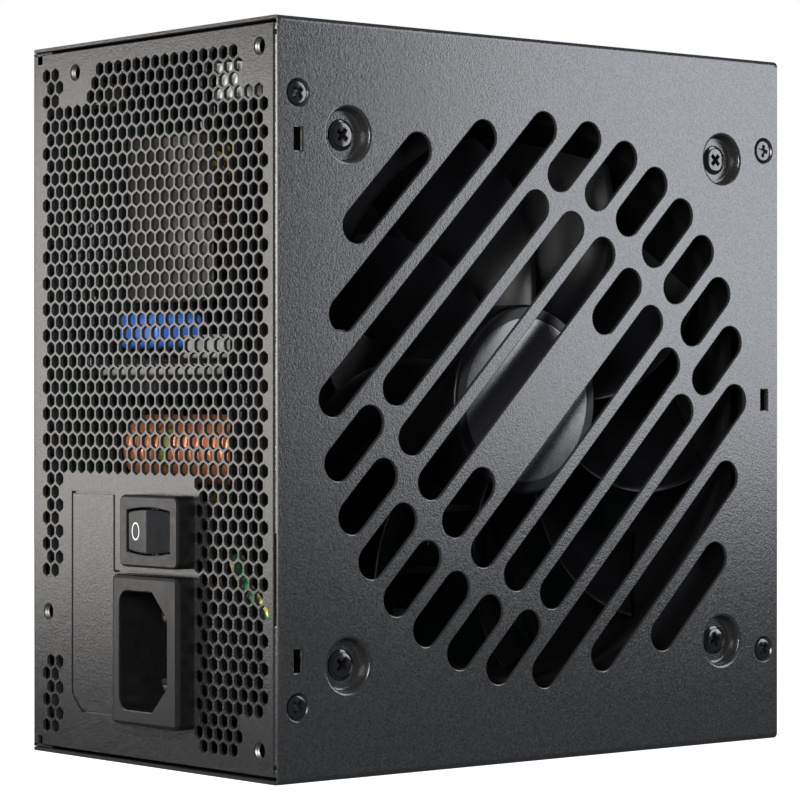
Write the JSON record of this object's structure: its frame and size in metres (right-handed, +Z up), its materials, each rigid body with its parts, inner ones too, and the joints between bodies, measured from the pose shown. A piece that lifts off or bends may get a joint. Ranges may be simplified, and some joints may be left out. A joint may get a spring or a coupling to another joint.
{
  "type": "power supply unit",
  "caption": "Modular computer power supply in a folded steel case with a slotted fan side, a honeycomb rear panel with mains inlet and rocker switch, and output sockets.",
  "frame": {"origin": "centre of the plain case face that the unit stands on, at the level it rests on", "axes": "+Z up along the 150 mm side; +X out of the slotted fan side; -Y out of the rear panel with the mains inlet; +Y out of the output sockets"},
  "size_m": [0.086, 0.1453, 0.15],
  "materials": {
    "case_paint": "fine-textured satin black powder coat",
    "black_plastic": "fine matte moulding",
    "fan_plastic": "glossy black moulding",
    "screw_black": "black zinc",
    "bright_steel": "bright zinc",
    "brass": "plain",
    "copper": "enamelled copper",
    "ferrite": "dull sintered",
    "circuit_board": "satin solder mask",
    "insulator": "translucent film",
    "heatsink": "extruded satin",
    "blue_film": "dipped",
    "pale_film": "moulded box",
    "black_sleeve": "shrunk sleeve",
    "fuse_ceramic": "plain",
    "brown_wire": "smooth insulation",
    "blue_wire": "smooth insulation",
    "earth_wire": "smooth insulation with a stripe"
  },
  "bodies": {
    "case": {"base_tray": "case_paint", "cover": "case_paint", "inlet_housing": "black_plastic", "switch_housing": "black_plastic", "board_socket_18": "black_plastic", "board_socket_10": "black_plastic", "drive_socket_1": "black_plastic", "drive_socket_2": "black_plastic", "drive_socket_3": "black_plastic", "graphics_socket": "black_plastic", "power_socket_1": "black_plastic", "power_socket_2": "black_plastic", "power_socket_3": "black_plastic", "power_socket_4": "black_plastic", "fan_frame": "fan_plastic", "cover_screw_1": "screw_black", "cover_screw_2": "screw_black", "cover_screw_3": "screw_black", "cover_screw_4": "screw_black", "fan_screw_1": "screw_black", "fan_screw_2": "screw_black", "fan_screw_3": "screw_black", "fan_screw_4": "screw_black", "board_screw_1": "bright_steel", "board_screw_2": "bright_steel", "board_screw_3": "bright_steel", "board_screw_4": "bright_steel", "inlet_blade_line": "brass", "inlet_blade_neutral": "brass", "inlet_blade_earth": "brass", "switch_terminal_1": "brass", "switch_terminal_2": "brass", "fan_bearing": "brass", "filter_choke_1": "copper", "filter_choke_2": "copper", "boost_choke": "copper", "fan_stator": "copper", "main_transformer": "ferrite", "standby_transformer": "ferrite", "main_board": "circuit_board", "converter_board": "circuit_board", "control_board": "circuit_board", "socket_board": "circuit_board", "insulating_sheet": "insulator", "primary_heatsink": "heatsink", "secondary_heatsink": "heatsink", "film_capacitor_2": "blue_film", "film_capacitor_1": "pale_film", "bulk_capacitor": "black_sleeve", "rectifier": "black_sleeve", "fan_lead": "black_sleeve", "fuse": "fuse_ceramic", "live_wire": "brown_wire", "switched_wire": "brown_wire", "neutral_wire": "blue_wire", "earth_wire": "earth_wire"},
    "rotor": {"fan_rotor": "fan_plastic", "fan_magnet_ring": "ferrite", "fan_shaft": "bright_steel"},
    "rocker": {"switch_rocker": "black_plastic"}
  },
  "joints": [
    {"name": "fan_spin", "type": "hinge", "parent": "case", "child": "rotor", "pos_m": [0.026, 0, 0.075], "axis": [1, 0, 0], "continuous": true},
    {"name": "rocker_tilt", "type": "hinge", "parent": "case", "child": "rocker", "pos_m": [0.0055, -0.0719, 0.04835], "axis": [0, 0, -1], "range_deg": [0, 14]}
  ]
}
